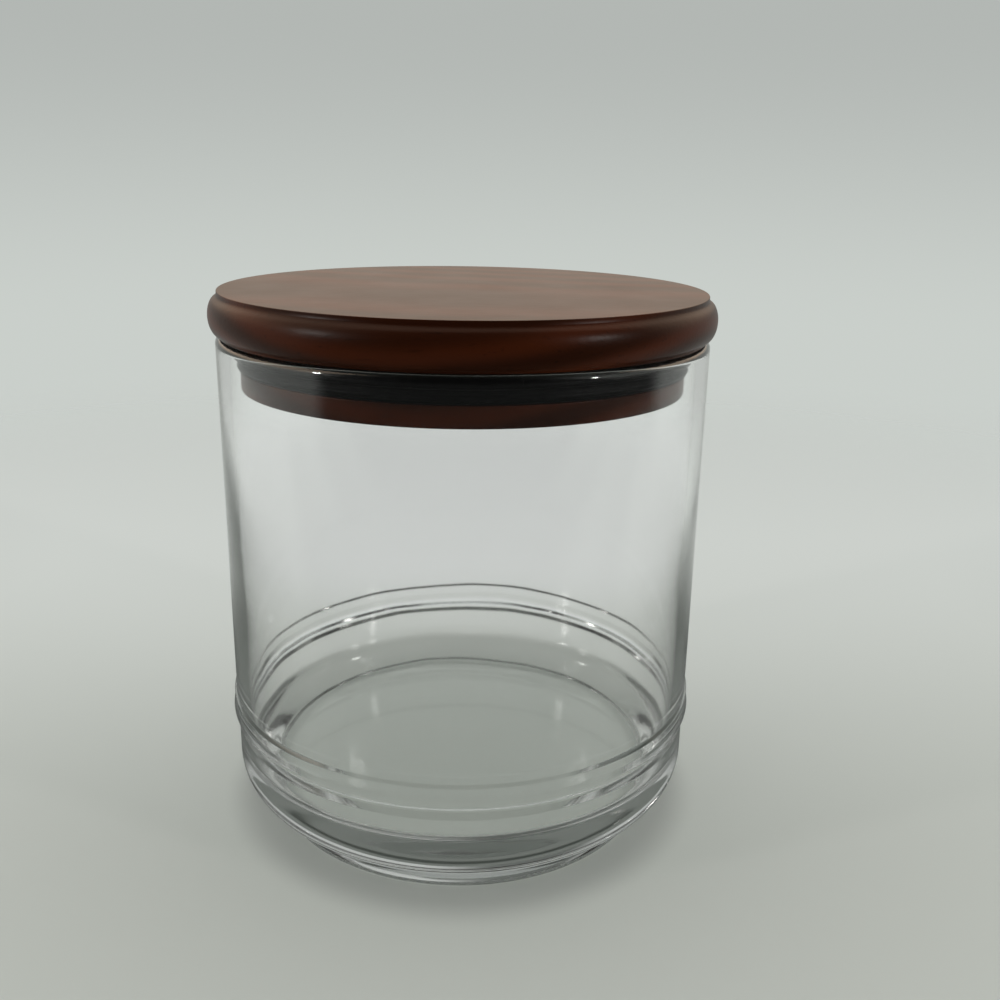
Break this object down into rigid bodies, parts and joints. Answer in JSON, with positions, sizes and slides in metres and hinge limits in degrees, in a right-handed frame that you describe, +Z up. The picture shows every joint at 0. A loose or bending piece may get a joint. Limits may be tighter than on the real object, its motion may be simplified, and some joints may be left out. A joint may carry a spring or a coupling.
{
  "type": "glass storage canister",
  "caption": "Round clear glass storage jar with a beaded collar above its heel, closed by a turned dark wood lid whose plug carries a black rubber seal; the lid lifts off.",
  "frame": {"origin": "centre of the foot ring, on the surface that the jar stands on", "axes": "+Z up along the axis of revolution; +X and +Y are free, because the shape is turned about Z"},
  "size_m": [0.1138, 0.1138, 0.1253],
  "materials": {
    "clear_glass": "clear, fire-polished",
    "dark_wood": "satin lacquer over reddish-brown stain",
    "black_rubber": "satin"
  },
  "bodies": {
    "jar": {"glass_jar": "clear_glass"},
    "lid": {"wooden_lid": "dark_wood", "seal_ring": "black_rubber"}
  },
  "joints": [
    {"name": "lid_lift", "type": "slide", "parent": "jar", "child": "lid", "axis": [0, 0, 1], "range_m": [0, 0.08]}
  ]
}
